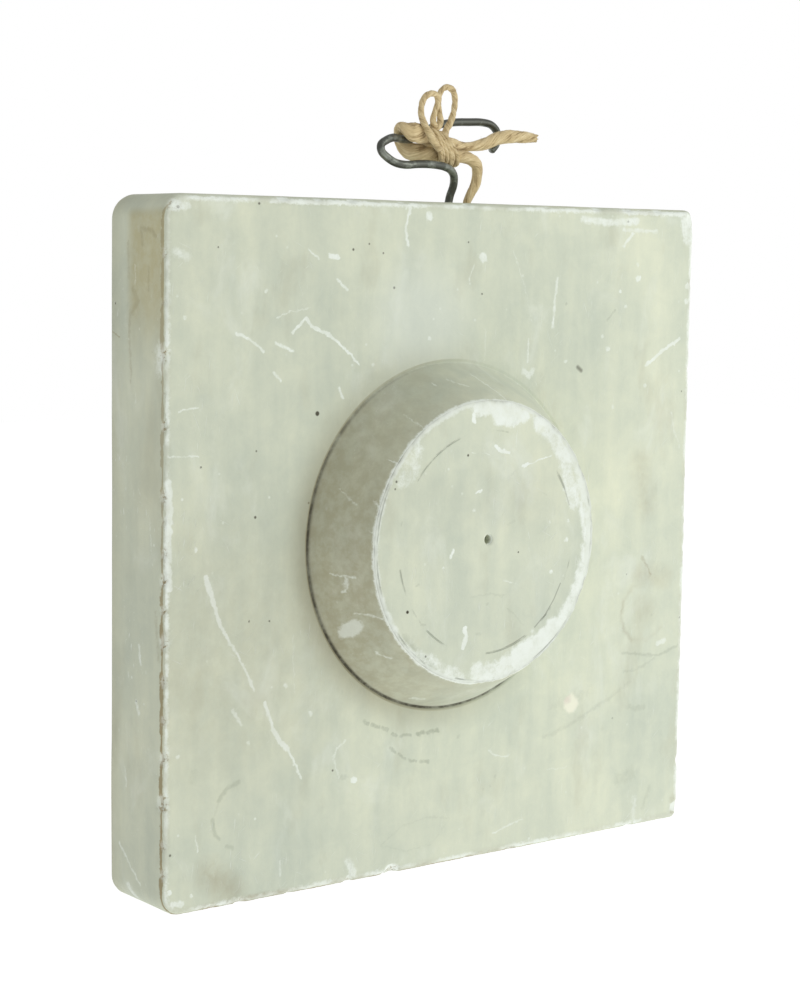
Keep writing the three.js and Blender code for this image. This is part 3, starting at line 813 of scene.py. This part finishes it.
bossSideWhite = [
    (0.3, 0.8, 0.5, [(-43, 33), (-40, 30.5), (-37, 29.5)]),
    (0.3, 0.7, 0.5, [(-52, 8), (-49, 5), (-47.5, 3.6)]),
    (0.35, 0.7, 0.6, [(-59.5, -8), (-55, -8.6)]), (0.4, 0.7, 0.6, [(-56.4, -9), (-56, -14.5)]),
    (0.3, 0.6, 0.5, [(-52.6, -22), (-48, -22.6), (-45, -24)]), (0.3, 0.6, 0.5, [(-43, -37), (-38.4, -39.6)]),
    (0.35, 0.6, 0.6, [(-50, 18.5), (-48.6, 15)]), (0.5, 0.5, 0.8, [(-47.4, -12), (-46.6, -15)]),
    (0.35, 0.8, 0.5, [(4, 61.5), (7.4, 56), (8.8, 53)]), (0.3, 0.6, 0.5, [(-9, 60), (-3, 57.6)]),
    (0.5, 0.6, 0.6, [(-15.4, 58.4)]), (0.5, 0.5, 0.7, [(-20, -57.6), (-15, -58.6)]),
    (0.3, 0.5, 0.5, [(-56, 22), (-54, 17)]), (0.3, 0.5, 0.5, [(-32, 48), (-30, 44)]),
]
bossGrey = [
    (0.5, 0.4, 1.0, [(-7, -18.6), (2, -18.2), (9, -19.4)]), (0.7, 0.5, 0.8, [(0.6, -21.8)]),
    (0.4, 0.45, 0.8, [(10.4, -24.6), (14, -27), (18, -31)]), (0.5, 0.4, 0.7, [(-4.6, -32.6), (-2.6, -33)]),
    (0.4, 0.5, 0.5, [(-30.6, -27), (-28.6, -26.6)]), (0.4, 0.45, 0.5, [(-33, -12.6), (-31.6, -12.2)]),
    (1.3, 0.75, 2.2, [(-38, -31), (-31.5, -37.5), (-25, -42)]), (0.5, 0.3, 0.7, [(10, 7.4), (13, 8)]),
    (0.4, 0.3, 0.6, [(26.6, 18), (29, 16.8)]),
]
bossHoles = [
    (0.45, 0.9, 0.3, [(-9.8, 33.4)]), (0.6, 1.0, 0.3, [(-36.6, -21.7)]), (0.45, 0.8, 0.3, [(-42.3, 25.4)]),
    (0.2, 0.5, 0.35, [(36.4, -17), (33.2, -23), (29, -28.4), (24, -32.6)]),
    (0.2, 0.35, 0.35, [(19, -35.4), (14.6, -37.3), (10, -38.7)]),
    (0.2, 0.3, 0.35, [(34, 24), (37.6, 18.4), (40, 12.6)]),
    (0.4, 0.7, 0.3, [(-42.8, 22.8)]), (0.4, 0.7, 0.3, [(-28, -38.6)]),
]

leftDark = [  # on the left face the places are (depth, height)
    (0.2, 0.85, 0.35, [(-0.8, 77.6), (-4, 76.6), (-8, 75.4)]),
    (1.2, 0.4, 1.6, [(-17, 92), (-20, 88), (-16, 84)]),
    (0.8, 0.5, 1.2, [(-22, 113), (-29, 112), (-31.5, 110)]), (0.8, 0.4, 1.2, [(-22, 112), (-23, 107.5)]),
    (0.8, 0.4, 1.4, [(-15, 84), (-14.3, 76), (-15.5, 64)]), (0.7, 0.35, 1.2, [(-13.4, 108), (-14, 96)]),
    (0.6, 0.4, 1.0, [(-27, 100), (-27, 92)]), (0.5, 0.4, 0.8, [(-15.6, 63), (-15.4, 60)]),
    (1.0, 0.3, 1.6, [(-32, -18), (-34, -34)]), (0.8, 0.3, 1.4, [(-2, -60), (-2.4, -112)]),
]
leftWhite = [
    (0.5, 0.55, 0.8, [(-8, -104), (-22, -116)]), (1.4, 0.6, 1.6, [(-14, -118), (-18, -123)]),
    (0.7, 0.6, 0.8, [(-21, -31), (-22, -37)]), (0.8, 0.6, 0.9, [(-19, -51), (-21, -55)]),
    (2.6, 0.6, 3.0, [(-34.5, 72), (-34.5, 66)]), (0.5, 0.4, 0.8, [(-18, 100), (-18.4, 94)]),
    (0.4, 0.4, 0.7, [(-28, 14), (-29, 2)]), (0.6, 0.4, 0.8, [(-12, -76), (-13, -82)]),
]


def strokes(point, marks, window=None):
    # the strongest mark here: strength times how far inside its half width the nearest run passes; runs that
    # don't reach the window (left, right, bottom, top) are left out
    best = None
    for half, strength, feather, places in marks:
        pairs = zip(places, places[1:]) if len(places) > 1 else [(places[0], places[0])]
        for (x1, z1), (x2, z2) in pairs:
            margin = half + feather + 4  # 4 mm over, for the wobble of the marks' rims
            if window and (max(x1, x2) < window[0] - margin or min(x1, x2) > window[1] + margin
                           or max(z1, z2) < window[2] - margin or min(z1, z2) > window[3] + margin):
                continue
            reach = (x2 - x1) ** 2 + (z2 - z1) ** 2
            if reach:
                off = point.vector("SUBTRACT", (x1, 0, z1))
                along = off.vector("DOT_PRODUCT", ((x2 - x1) / reach, 0, (z2 - z1) / reach), output="Value")
                share = along.held()
                foot = share.node("ShaderNodeCombineXYZ", {}, {0: share * (x2 - x1), 2: share * (z2 - z1)})
                away = off.vector("DISTANCE", foot, output="Value")
            else:
                away = point.vector("DISTANCE", (x1, 0, z1), output="Value")
            inside = away.math("MULTIPLY_ADD", -1 / feather, half / feather + 0.5, clamp=True) * strength
            best = inside if best is None else best.math("MAXIMUM", inside)
    return best if best is not None else point.part(0) * 0


# plaster
plaster = dict(
    cool=rgb(0.560, 0.622, 0.520),
    warm=rgb(0.632, 0.652, 0.500),
    white=rgb(0.82, 0.87, 0.80),
    brown=rgb(0.29, 0.235, 0.12),
    # used for dust and dirt, and also for painted shade and the boss's painted shadow
    dustAndShade=rgb(0.33, 0.30, 0.185),
    grey=rgb(0.34, 0.38, 0.29),
    hole=rgb(0.06, 0.055, 0.035),
    cream=rgb(0.88, 0.88, 0.72),
    pink=rgb(0.76, 0.70, 0.60),
    oldBrown=rgb(0.43, 0.385, 0.2),
    roughness=0.86,
)


def ragged(field, crumbs, bite):
    # eats into a soft mark's rim with a noise, so that it ends in crumbs and gaps; bite is how deep
    return (field * (1 + bite) + crumbs * bite - bite).held()


def plasterGround(tree):
    # what every plaster finish starts from, at a place in mm: its noises, its bare colour and its relief
    place = ownPlace(tree)
    at = SimpleNamespace(place=place, x=place.part(0), y=place.part(1), z=place.part(2))
    at.fromArris = ownValue(tree, "fromArris")
    at.chipped = ownValue(tree, "chipped")
    at.flat = place.vector("MULTIPLY", (1, 0, 1))
    at.bossRadius = at.flat.vector("DISTANCE", (plaque["bossX"], 0, plaque["bossZ"]), output="Value")

    # soft clouds, upright drifts, mottling and grain; and painted light, paler towards the lower right
    cloud = place.noise(58, 3, 0.55)
    streak = place.noise(10, 4, 0.6, stretch=(1, 1, 7))
    mottle = place.noise(8.5, 5, 0.62, warp=0.4)
    grain = place.noise(1.1, 3, 0.6)
    tone = (cloud - 0.5) * 1.1 + (streak - 0.5) * 0.75 + (mottle - 0.5) * 0.6
    colour = (tone * 0.9 + 0.5).mix(plaster["cool"], plaster["warm"])
    lift = tone * 0.3 + (grain - 0.5) * 0.06 + at.x * 0.0005 - at.z * 0.0001 + 1.035
    colour = colour.vector("SCALE", scale=lift)

    # pale bloom where the skin is rubbed thin, and duller patches where it is greasy
    bloom = place.noise(22, 5, 0.66, stretch=(1, 1, 1.7), warp=0.6).fade(0.52, 0.74)
    colour = (bloom * 0.27).mix(colour, plaster["white"])
    greasy = place.vector("ADD", (70, 0, 40)).noise(15, 4, 0.6, stretch=(1, 1, 2.2)).fade(0.55, 0.74)
    colour = (greasy * 0.15).mix(colour, plaster["dustAndShade"])
    # faint random scratches: long thin noises at four slants, each kept in patches
    scratch = None
    for slant, shift, width, cut in ((41, 3.1, 0.42, 0.79), (-27, 11.7, 0.55, 0.8), (84, 23.9, 0.4, 0.76),
                                     (-66, 37.3, 0.5, 0.8)):
        turned = place.node("ShaderNodeMapping", {}, {
            "Vector": place, "Rotation": (0, math.radians(slant), 0), "Location": (shift, shift, shift)})
        thin = turned.noise(width, 1.5, 0.45, stretch=(19, 3, 1), warp=0.12).fade(cut - 0.09, cut + 0.02)
        scratch = thin if scratch is None else scratch.math("MAXIMUM", thin)
    scratch = scratch * place.noise(24, 2, 0.5).fade(0.44, 0.62)
    colour = (scratch * 0.55).mix(colour, plaster["white"])
    # scattered crumbs of white and small dark pits
    cells = place.node("ShaderNodeTexVoronoi", {}, {"Vector": place, "Scale": 1 / 6.5}, "Distance")
    specks = cells.fade(0.12, 0.03) * place.noise(13, 2).fade(0.5, 0.66)
    colour = (specks * 0.6).mix(colour, plaster["white"])
    pitPlace = place.vector("ADD", (31, 17, 53))
    pits = pitPlace.node("ShaderNodeTexVoronoi", {}, {"Vector": pitPlace, "Scale": 1 / 13.0}, "Distance")
    pits = pits.fade(0.034, 0.014)
    colour = (pits * 0.55).mix(colour, plaster["hole"])
    relief = grain * 0.04 + mottle * 0.1 - scratch * 0.08 - pits * 0.4

    # the marks are read at a place that wobbles by a noise, and their rims are eaten by crumbs and drifts
    wobble = place.node("ShaderNodeTexNoise", {}, {"Vector": place, "Scale": 0.5, "Detail": 3.0}, "Color")
    wobble = wobble.vector("SUBTRACT", (0.5, 0.5, 0.5)).vector("SCALE", scale=2.0)
    at.wobbled = place.vector("ADD", wobble)
    at.point = at.wobbled.vector("MULTIPLY", (1, 0, 1))
    at.crumbs = place.noise(1.5, 4, 0.75).fade(0.28, 0.66)
    at.drifts = place.noise(5.5, 4, 0.7).fade(0.3, 0.68)
    return at, colour, relief


def paintedBossShadow(at):
    # painted shadow of the boss: how strongly the ground just outside it is darkened, most of all on its
    # left
    return (at.x * -0.009 - at.z * 0.003 + 0.35).held()


def frontMarks(at, colour, window):
    point, crumbs, drifts = at.point, at.crumbs, at.drifts
    stains = strokes(point, brownStains, window) * (drifts * 0.7 + 0.4)
    colour = stains.mix(colour, plaster["brown"])
    smudges = ragged(strokes(point, greyMarks, window), crumbs, 0.4)
    colour = (smudges * 0.42).mix(colour, plaster["grey"])
    stamp = ragged(strokes(point, stampRows, window), crumbs, 0.5)
    colour = (stamp * 0.75).mix(colour, plaster["grey"])
    rubs = ragged(strokes(point, whiteMarks, window), crumbs, 0.6)
    colour = (rubs * (drifts * 0.45 + 0.5)).mix(colour, plaster["white"])
    colour = strokes(at.flat, pinHoles, window).mix(colour, plaster["hole"])
    # a dab of cream with a pinker middle, in the tiles that it can reach
    if window[0] < 68 < window[1] + 10 and window[2] < -62 < window[3] + 10:
        cream = point.vector("DISTANCE", (63.6, 0, -70), output="Value").fade(4.6, 2.8)
        pink = point.vector("DISTANCE", (61.2, 0, -67.8), output="Value").fade(3.4, 0.6)
        colour = (cream * 0.75).mix(colour, pink.mix(plaster["cream"], plaster["pink"]))
    # darker towards the lower left
    lowerLeftDarkening = point.vector("DISTANCE", (-100, 0, -34), output="Value").fade(78, 10) * (drifts * 0.4 + 0.6)
    colour = (lowerLeftDarkening * 0.24).mix(colour, plaster["dustAndShade"])
    paler = point.vector("DISTANCE", (-14, 0, 80), output="Value").fade(34, 6)
    colour = (paler * 0.3).mix(colour, plaster["white"])
    # painted shadow of the boss on the front, darkest just outside its foot on the left
    nearBoss = at.bossRadius.fade(82, plaque["bossFoot"])
    return (nearBoss * nearBoss * paintedBossShadow(at) * 0.56).mix(colour, plaster["dustAndShade"])


def bossFaceMarks(at, colour, window):
    # gives the colour, and the turned lines for the relief
    crumbs, drifts, radius = at.crumbs, at.drifts, at.bossRadius
    smudges = ragged(strokes(at.point, bossGrey, window), crumbs, 0.4)
    colour = (smudges * 0.45).mix(colour, plaster["grey"])
    rubs = ragged(strokes(at.point, bossWhite, window), drifts * 0.6 + crumbs * 0.4, 1.3)
    band = radius.fade(43.5, 51.5) * (at.x * 0.01 - at.z * 0.003 + 0.42).held()
    rim = ragged(radius.fade(48.8, 52.2).math("MAXIMUM", band), crumbs * 0.5 + drifts * 0.5, 1.2)
    colour = (rubs.math("MAXIMUM", rim * 0.8) * (drifts * 0.4 + 0.62)).mix(colour, plaster["white"])
    # the turner's scribed circle and a fine groove just inside the rim
    ring = (radius - 41.2).math("ABSOLUTE").fade(0.42, 0.12) * at.place.noise(13, 3, 0.6).fade(0.5, 0.6)
    groove = (radius - 51.0).math("ABSOLUTE").fade(0.34, 0.08) * at.place.noise(17, 2, 0.6).fade(0.48, 0.6)
    lines = ring.math("MAXIMUM", groove * at.z.fade(30, 10))
    colour = (lines * 0.6).mix(colour, plaster["grey"])
    # painted shade: the inside of the centre hole is coloured nearly black
    insideHole = at.y.fade(-59.25, -58.2)
    holes = strokes(at.flat, bossHoles, window).math("MAXIMUM", insideHole * 0.93)
    return holes.mix(colour, plaster["hole"]), lines


def bossSideMarks(at, colour):
    crumbs, drifts, x, y, z = at.crumbs, at.drifts, at.x, at.y, at.z
    # dust, and painted shade on the side turned from the light: the boss's side darkens towards its left and
    # a little towards its bottom
    dustAndShadeOnSide = (z * -0.0018 - x * 0.0125 + 0.31).held()
    colour = (dustAndShadeOnSide * (drifts * 0.3 + 0.44)).mix(colour, plaster["dustAndShade"])
    rub = at.point.vector("MULTIPLY", (1, 0, 0.6)).vector("DISTANCE", (-51.5, 0, -17), output="Value")
    rub = ragged(rub.fade(3.4, 0.9), drifts * 0.6 + crumbs * 0.4, 1.3)
    colour = (rub * 0.55).mix(colour, plaster["white"])
    rubs = ragged(strokes(at.point, bossSideWhite), crumbs, 0.7)
    colour = (rubs * 0.55).mix(colour, plaster["white"])
    rimRub = ragged(y.fade(-57.4, -59.2), crumbs, 0.9)
    colour = (rimRub * 0.85).mix(colour, plaster["white"])
    # the joint round the foot, dark at the lower left with dirt and painted shade, and the painted shadow of
    # the boss on the ground just outside it
    joint = (at.bossRadius - 64.9).math("ABSOLUTE").fade(0.8, 0.25) * y.fade(-38.2, -37.6)
    joint = joint * (drifts * 0.5 + 0.6) * (x * -0.009 - z * 0.009 + 0.55).held()
    colour = (joint * 0.9).mix(colour, plaster["hole"])
    outside = at.bossRadius.fade(65.0, 65.8) * y.fade(-37.8, -37.2)
    return (outside * paintedBossShadow(at) * 0.56).mix(colour, plaster["dustAndShade"])


def edgeMarks(at, colour):
    crumbs, x, y, z = at.crumbs, at.x, at.y, at.z
    old = at.place.noise(30, 4, 0.6, stretch=(1, 1, 2.4))
    # dirt in patches, and painted shade that darkens the edges towards the back
    dirtAndBackShade = y.fade(-13, -1) * 0.2 + old.fade(0.48, 0.72) * 0.2 + 0.1
    colour = dirtAndBackShade.mix(colour, plaster["dustAndShade"])
    # a brown stain high on the left edge
    brownTop = z.fade(62, 96) * z.fade(121, 117) * y.fade(-11, -18) * x.fade(-121, -124)
    brownTop = brownTop * (at.drifts * 0.35 + 0.6)
    colour = (brownTop * 0.75).mix(colour, plaster["oldBrown"])
    # on the left edge the marks' places are depth and height
    onLeft = x.fade(-121.5, -123.5)
    depth, height = at.wobbled.part(1), at.wobbled.part(2)
    leftPoint = depth.node("ShaderNodeCombineXYZ", {}, {0: depth, 2: height})
    smudges = ragged(strokes(leftPoint, leftDark), crumbs, 0.3) * onLeft
    colour = (smudges * 0.8).mix(colour, plaster["dustAndShade"])
    rubs = ragged(strokes(leftPoint, leftWhite), crumbs, 0.6) * onLeft
    return (rubs * 0.7).mix(colour, plaster["white"])


def arrisMarks(at, colour):
    # the slab's front arris: pale and chipped on the front, soiled along the left and the bottom
    crumbs, x, z = at.crumbs, at.x, at.z
    soiled = x.fade(-117, -124).math("MAXIMUM", z.fade(-118, -124) * x.fade(70, 10) * 0.7)
    patchy = at.place.noise(17, 3, 0.6).fade(0.36, 0.6)
    nearFront = at.fromArris.fade(4.2, 0.6) * at.y.fade(-36.0, -36.8)
    colour = (nearFront * (patchy * -0.3 + 0.34)).mix(colour, plaster["dustAndShade"])
    pale = ragged(nearFront, crumbs * 0.7 + at.drifts * 0.3, 1.2) * (patchy * 0.8 + 0.2)
    colour = (pale * 0.9).mix(colour, plaster["white"])
    blotch = at.place.noise(9, 4, 0.65).fade(0.42, 0.62)
    line = (at.fromArris + 1.0).math("ABSOLUTE") - blotch * 0.9
    grime = ragged(line.fade(1.1, 0.1) * soiled, crumbs * 0.5 + patchy * 0.5, 0.9)
    colour = (grime * (z.fade(20, -30) * 0.35 + 0.5)).mix(colour, plaster["brown"])
    fresh = ragged(at.chipped, crumbs, 0.5)
    colour = (fresh * (soiled * -0.5 + 0.9)).mix(colour, plaster["white"])
    return (fresh * soiled * crumbs.fade(0.5, 0.2) * 0.9).mix(colour, plaster["brown"])


def plasterMaterial(name, region, window=None):
    material, tree = newMaterial(name)
    at, colour, relief = plasterGround(tree)
    if region == "front":
        colour = frontMarks(at, colour, window)
    elif region == "bossFace":
        colour, lines = bossFaceMarks(at, colour, window)
        relief = relief - lines * 0.3
    elif region == "bossSide":
        colour = bossSideMarks(at, colour)
    else:
        colour = edgeMarks(at, colour)
    colour = arrisMarks(at, colour)
    finishMaterial(tree, {"Base Color": colour, "Roughness": plaster["roughness"],
                          "Normal": relief.bump(1.0), "Specular IOR Level": 0.35})
    plaquePiece.data.materials.append(material)


def plasterTiles(name, region, across, size):
    # one material for each square of a grid, row by row from the lower left, with the marks that reach it: a
    # single material with every mark would be too large to render
    for place in range(across * across):
        left = (place % across - across / 2) * size
        low = (place // across - across / 2) * size
        plasterMaterial(name + " " + str(place), region, (left, left + size, low, low + size))


plasterTiles("plaster front", "front", plaque["tilesAcross"], plaque["side"] / plaque["tilesAcross"])
plasterTiles("plaster boss face", "bossFace", 2, 54)
plasterMaterial("plaster boss side", "bossSide")
plasterMaterial("plaster edge and back", "rest")
print("plaster finished")


# hemp, twine and steel
hempColours = dict(
    light=rgb(0.70, 0.60, 0.38),
    middle=rgb(0.53, 0.42, 0.23),
    dark=rgb(0.27, 0.19, 0.09),
)
steelColours = dict(
    dark=rgb(0.10, 0.105, 0.09),
    worn=rgb(0.27, 0.29, 0.25),
    rust=rgb(0.13, 0.085, 0.05),
)


def fibreMaterial(name, fine, brightness):
    # fibres run along the lay of the strands, with painted shade down in the grooves
    material, tree = newMaterial(name)
    lay = ownValue(tree, "lay", "Vector")
    groove = ownValue(tree, "groove")
    place = ownPlace(tree)
    fibre = lay.noise(fine, 3, 0.6, stretch=(1, 1, 14))
    bands = lay.noise(fine * 4, 3, 0.6, stretch=(1, 1, 3.5))
    patch = place.noise(7, 3, 0.6)
    # groove * 0.3 darkens the grooves between the strands: painted shade
    tone = (fibre - 0.5) * 1.5 + (bands - 0.5) * 1.3 + (patch - 0.5) * 0.9 + 0.56 - groove * 0.3
    colour = tone.fade(0.5, 0.95).mix(hempColours["middle"], hempColours["light"])
    colour = tone.fade(0.42, 0.05).mix(colour, hempColours["dark"])
    colour = colour.vector("SCALE", scale=brightness)
    normal = (fibre * 0.22 + bands * 0.1).bump(0.9)
    finishMaterial(tree, {"Base Color": colour, "Roughness": 0.88, "Normal": normal,
                          "Specular IOR Level": 0.25, "Sheen Weight": 0.15, "Sheen Roughness": 0.5})
    return material


def hairMaterial():
    material, tree = newMaterial("loose hemp hair")
    place = ownPlace(tree)
    tone = place.noise(3, 2, 0.5)
    colour = tone.fade(0.35, 0.65).mix(hempColours["middle"], hempColours["light"])
    finishMaterial(tree, {"Base Color": colour, "Roughness": 0.8})
    return material


def steelMaterial():
    # dark patina with a fine grain, paler where it is worn, and a few rusty spots
    material, tree = newMaterial("dulled steel wire")
    place = ownPlace(tree)
    worn = place.noise(5.5, 4, 0.62).fade(0.46, 0.66)
    fine = place.noise(0.7, 3, 0.6)
    rusty = place.noise(3.2, 3, 0.6).fade(0.6, 0.74)
    colour = worn.mix(steelColours["dark"], steelColours["worn"])
    colour = (rusty * 0.4).mix(colour, steelColours["rust"])
    roughness = worn * -0.1 + fine * 0.18 + 0.36
    normal = (fine * 0.05).bump(0.6)
    finishMaterial(tree, {"Base Color": colour, "Roughness": roughness, "Metallic": 0.85, "Normal": normal})
    return material


hempCord.data.materials.append(fibreMaterial("hemp tow", 0.32, 1.24))
twine.data.materials.append(fibreMaterial("hemp twine", 0.2, 1.2))
strayFibres.data.materials.append(hairMaterial())
wireLoop.data.materials.append(steelMaterial())
print("cord and wire finished")


# floor and light
studio = dict(
    floorHeight=-0.55,
    floorSize=14.0,
    fill=0.62,
    sideways=0.13,
    keyPower=6.3,
    keyPlace=(0.95, -1.15, 0.45),
    keySize=0.9,
)


def makeFloor():
    half = studio["floorSize"] / 2
    corners = [(-half, -half), (half, -half), (half, half), (-half, half)]
    mesh = bpy.data.meshes.new("studio_floor")
    mesh.from_pydata([(x, y, studio["floorHeight"]) for x, y in corners], [], [(0, 1, 2, 3)])
    floor = bpy.data.objects.new("studio_floor", mesh)
    bpy.context.scene.collection.objects.link(floor)
    material, tree = newMaterial("pale floor")
    finishMaterial(tree, {"Base Color": rgb(0.95, 0.95, 0.95), "Roughness": 0.9,
                          "Emission Color": rgb(1, 1, 1), "Emission Strength": 0.45})
    mesh.materials.append(material)


def makeLights():
    world = bpy.data.worlds.new("studio air")
    bpy.context.scene.world = world
    world.use_nodes = True
    tree = world.node_tree
    tree.nodes.clear()
    seen = Flow(tree, tree.nodes.new("ShaderNodeLightPath").outputs["Is Camera Ray"])
    # the air is a little brighter on the right; what the camera sees of it is plain white
    towards = Flow(tree, tree.nodes.new("ShaderNodeTexCoord").outputs["Generated"])
    fill = (towards.part(0) * studio["sideways"] + 1.0) * studio["fill"]
    strength = fill + seen * (1.0 - fill)
    air = seen.node("ShaderNodeBackground", {}, {"Color": rgb(1, 1, 1), "Strength": strength})
    air.node("ShaderNodeOutputWorld", {}, {"Surface": air})
    key = bpy.data.objects.new("key light", bpy.data.lights.new("key light", "AREA"))
    key.data.shape = "SQUARE"
    key.data.size = studio["keySize"]
    key.data.energy = studio["keyPower"]
    key.data.color = (1.0, 1.0, 0.98)
    key.location = studio["keyPlace"]
    key.rotation_euler = (-Vector(studio["keyPlace"])).to_track_quat("-Z", "Y").to_euler()
    bpy.context.scene.collection.objects.link(key)


makeFloor()
makeLights()
print("floor and light set")
